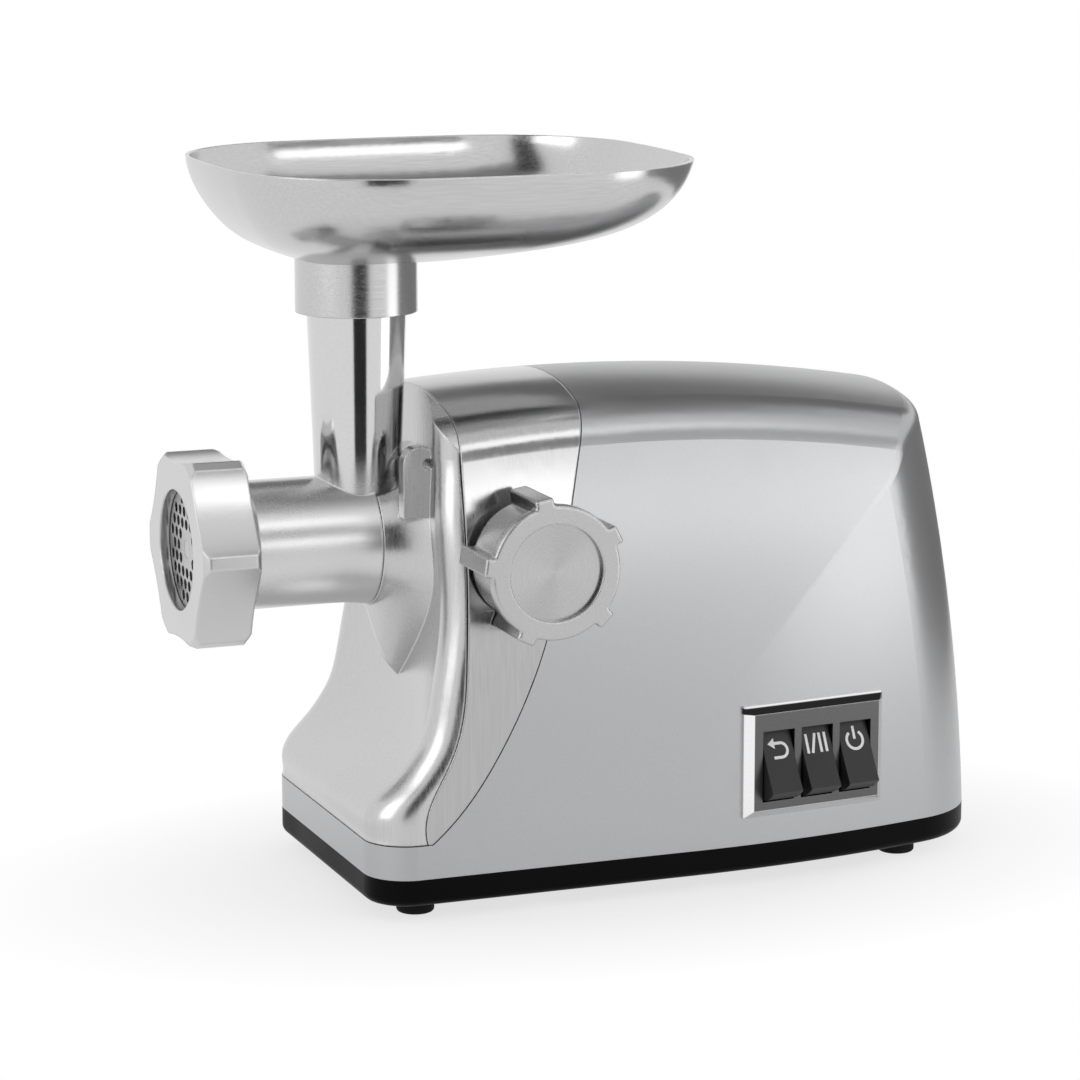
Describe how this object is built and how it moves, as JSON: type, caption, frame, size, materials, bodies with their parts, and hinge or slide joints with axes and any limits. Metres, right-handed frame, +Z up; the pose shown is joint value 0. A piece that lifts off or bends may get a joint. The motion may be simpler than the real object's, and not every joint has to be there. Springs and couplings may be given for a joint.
{
  "type": "electric meat grinder",
  "caption": "Countertop electric meat grinder: silver housing with a scooped front, side lock knob, rocker switches, and a grinding head with feed tray, auger and ring nut.",
  "frame": {"origin": "on the table under the middle of the machine's bounding box", "axes": "+X from the grinding head to the rear, +Y away from the side with the knob and switches, +Z up"},
  "size_m": [0.377, 0.206, 0.3285],
  "materials": {
    "silver_housing": "satin metallic paint",
    "satin_chrome": "satin plated",
    "black_base": "moulded, fine grain",
    "foot_rubber": "matt",
    "cast_aluminium": "cast, polished",
    "tray_aluminium": "spun and polished",
    "spun_disc": "spun brushing",
    "plate_steel": "ground",
    "auger_cast": "as cast",
    "bezel_grey": "satin metallic",
    "rocker_black": "satin",
    "steel": "turned",
    "bronze": "sintered",
    "copper": "enamelled wire",
    "lamination": "stacked sheet",
    "nylon": "moulded",
    "inner_black": "moulded",
    "bracket_zinc": "die cast",
    "board": "solder mask"
  },
  "bodies": {
    "housing": {"main_housing": "silver_housing", "front_fascia": "satin_chrome", "front_panel": "satin_chrome", "base_plate": "black_base", "rubber_feet": "foot_rubber", "switch_bezel": "bezel_grey", "base_screws": "steel", "gearbox_screws": "steel", "socket_screws": "steel", "motor_bolts": "steel", "rocker_pin": "steel", "front_motor_bearing": "steel", "rear_motor_bearing": "steel", "lock_bush": "bronze", "output_bushes": "bronze", "intermediate_bushes": "bronze", "field_coils": "copper", "stator_core": "lamination", "head_socket": "inner_black", "gearbox_cover": "inner_black", "gearbox_case": "inner_black", "switch_bodies": "inner_black", "brush_holders": "inner_black", "cord_gland": "inner_black", "carbon_brushes": "inner_black", "front_motor_bracket": "bracket_zinc", "rear_motor_bracket": "bracket_zinc", "control_board": "board", "board_capacitors": "board"},
    "head": {"head_casting": "cast_aluminium", "auger_bush": "bronze"},
    "tray": {"feed_tray": "tray_aluminium"},
    "plate": {"cutting_plate": "plate_steel"},
    "nut": {"ring_nut": "cast_aluminium"},
    "auger": {"auger": "auger_cast", "thrust_washer": "steel", "cross_blade": "plate_steel"},
    "pad": {"clamp_pad": "nylon"},
    "knob": {"lock_knob": "cast_aluminium", "knob_disc": "spun_disc", "lock_screw": "steel"},
    "reverse": {"reverse_rocker": "rocker_black"},
    "speed": {"speed_rocker": "rocker_black"},
    "power": {"power_rocker": "rocker_black"},
    "output": {"output_gear": "nylon", "output_shaft": "steel"},
    "intermediate": {"intermediate_wheel": "nylon", "intermediate_pinion": "steel", "intermediate_shaft": "steel"},
    "armature": {"armature_shaft": "steel", "armature_core": "lamination", "armature_windings": "copper", "commutator": "copper", "cooling_fan": "inner_black", "motor_pinion": "steel"}
  },
  "joints": [
    {"name": "head_slide", "type": "slide", "parent": "housing", "child": "head", "axis": [-1, 0, 0], "range_m": [0, 0.075]},
    {"name": "tray_lift", "type": "slide", "parent": "head", "child": "tray", "axis": [0, 0, 1], "range_m": [0, 0.03]},
    {"name": "plate_slide", "type": "slide", "parent": "head", "child": "plate", "axis": [-1, 0, 0], "range_m": [0, 0.012]},
    {"name": "ring_nut_turn", "type": "hinge", "parent": "plate", "child": "nut", "pos_m": [-0.1755, 0.006, 0.1584], "axis": [-1, 0, 0], "range_deg": [0, 1440]},
    {"name": "armature_spin", "type": "hinge", "parent": "housing", "child": "armature", "pos_m": [0.0645, 0.006, 0.07633], "axis": [1, 0, 0], "continuous": true},
    {"name": "intermediate_spin", "type": "hinge", "parent": "housing", "child": "intermediate", "pos_m": [-0.0035, 0.036, 0.10818], "axis": [1, 0, 0], "continuous": true},
    {"name": "output_spin", "type": "hinge", "parent": "housing", "child": "output", "pos_m": [-0.0235, 0.006, 0.1584], "axis": [1, 0, 0], "continuous": true},
    {"name": "auger_spin", "type": "hinge", "parent": "head", "child": "auger", "pos_m": [-0.1235, 0.006, 0.1584], "axis": [1, 0, 0], "continuous": true},
    {"name": "pad_slide", "type": "slide", "parent": "housing", "child": "pad", "axis": [0, -1, 0], "range_m": [0, 0.003]},
    {"name": "lock_knob_turn", "type": "hinge", "parent": "pad", "child": "knob", "pos_m": [-0.05, -0.071, 0.1584], "axis": [0, -1, 0], "range_deg": [0, 720]},
    {"name": "reverse_press", "type": "hinge", "parent": "housing", "child": "reverse", "pos_m": [0.06803, -0.07231, 0.0558], "axis": [0.994, 0.1092, 0], "range_deg": [0, 24], "stiffness_Nm_per_rad": 0.15},
    {"name": "speed_rock", "type": "hinge", "parent": "housing", "child": "speed", "pos_m": [0.08811, -0.07011, 0.0558], "axis": [0.994, 0.1092, 0], "range_deg": [0, 24]},
    {"name": "power_rock", "type": "hinge", "parent": "housing", "child": "power", "pos_m": [0.10819, -0.0679, 0.0558], "axis": [0.994, 0.1092, 0], "range_deg": [0, 24]}
  ],
  "couplings": [
    {"joint": "plate_slide", "follows": "ring_nut_turn", "m_per_rad": 0.00047746},
    {"joint": "pad_slide", "follows": "lock_knob_turn", "m_per_rad": 0.00023873},
    {"joint": "intermediate_spin", "follows": "armature_spin", "ratio": -0.2069},
    {"joint": "output_spin", "follows": "armature_spin", "ratio": 0.045259},
    {"joint": "auger_spin", "follows": "armature_spin", "ratio": 0.045259}
  ]
}
